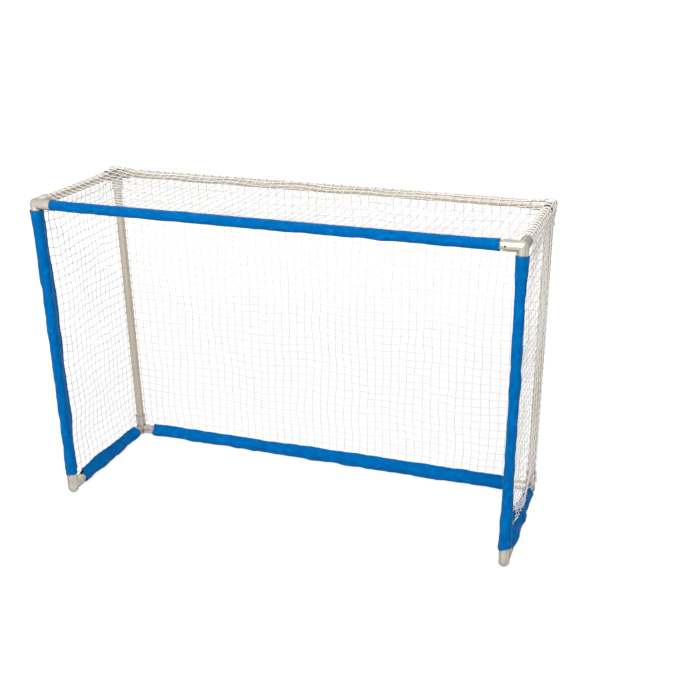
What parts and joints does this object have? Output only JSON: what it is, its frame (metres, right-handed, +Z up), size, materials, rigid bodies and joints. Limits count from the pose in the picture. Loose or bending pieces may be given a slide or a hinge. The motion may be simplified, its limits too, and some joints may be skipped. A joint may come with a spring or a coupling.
{
  "type": "hockey goal net",
  "caption": "Box-shaped hockey goal: grey steel tubes pushed into moulded corner fittings, blue cloth sleeves round the tubes and a white square-mesh net on the top, back and sides.",
  "frame": {"origin": "centre of the footprint, on the floor under the foot pads", "axes": "+X across the mouth, to the right of someone who faces the mouth; +Y from the mouth to the back; +Z up"},
  "size_m": [1.8372, 0.6054, 1.223],
  "materials": {
    "fitting": "fine satin moulding, warm light grey",
    "tube": "satin silver-grey paint",
    "sleeve": "plain woven nylon, azure blue",
    "net": "soft white twine",
    "pad": "matt black",
    "screw": "blackened steel"
  },
  "bodies": {
    "root": {"corner_top_front_left": "fitting", "corner_top_front_right": "fitting", "corner_top_rear_left": "fitting", "corner_top_rear_right": "fitting", "corner_foot_front_left": "fitting", "corner_foot_front_right": "fitting", "corner_foot_rear_left": "fitting", "corner_foot_rear_right": "fitting", "crossbar_tube_left": "tube", "crossbar_tube_right": "tube", "rear_top_tube_left": "tube", "rear_top_tube_right": "tube", "rear_bottom_tube_left": "tube", "rear_bottom_tube_right": "tube", "front_post_left": "tube", "front_post_right": "tube", "rear_post_left": "tube", "rear_post_right": "tube", "top_side_tube_left": "tube", "top_side_tube_right": "tube", "bottom_side_tube_left": "tube", "bottom_side_tube_right": "tube", "crossbar_sleeve": "sleeve", "rear_bottom_sleeve": "sleeve", "front_post_sleeve_left": "sleeve", "front_post_sleeve_right": "sleeve", "bottom_side_sleeve_left": "sleeve", "bottom_side_sleeve_right": "sleeve", "net_top": "net", "net_back": "net", "net_left": "net", "net_right": "net", "foot_pad_front_left": "pad", "foot_pad_front_right": "pad", "foot_pad_rear_left": "pad", "foot_pad_rear_right": "pad", "corner_screws": "screw"}
  },
  "joints": []
}
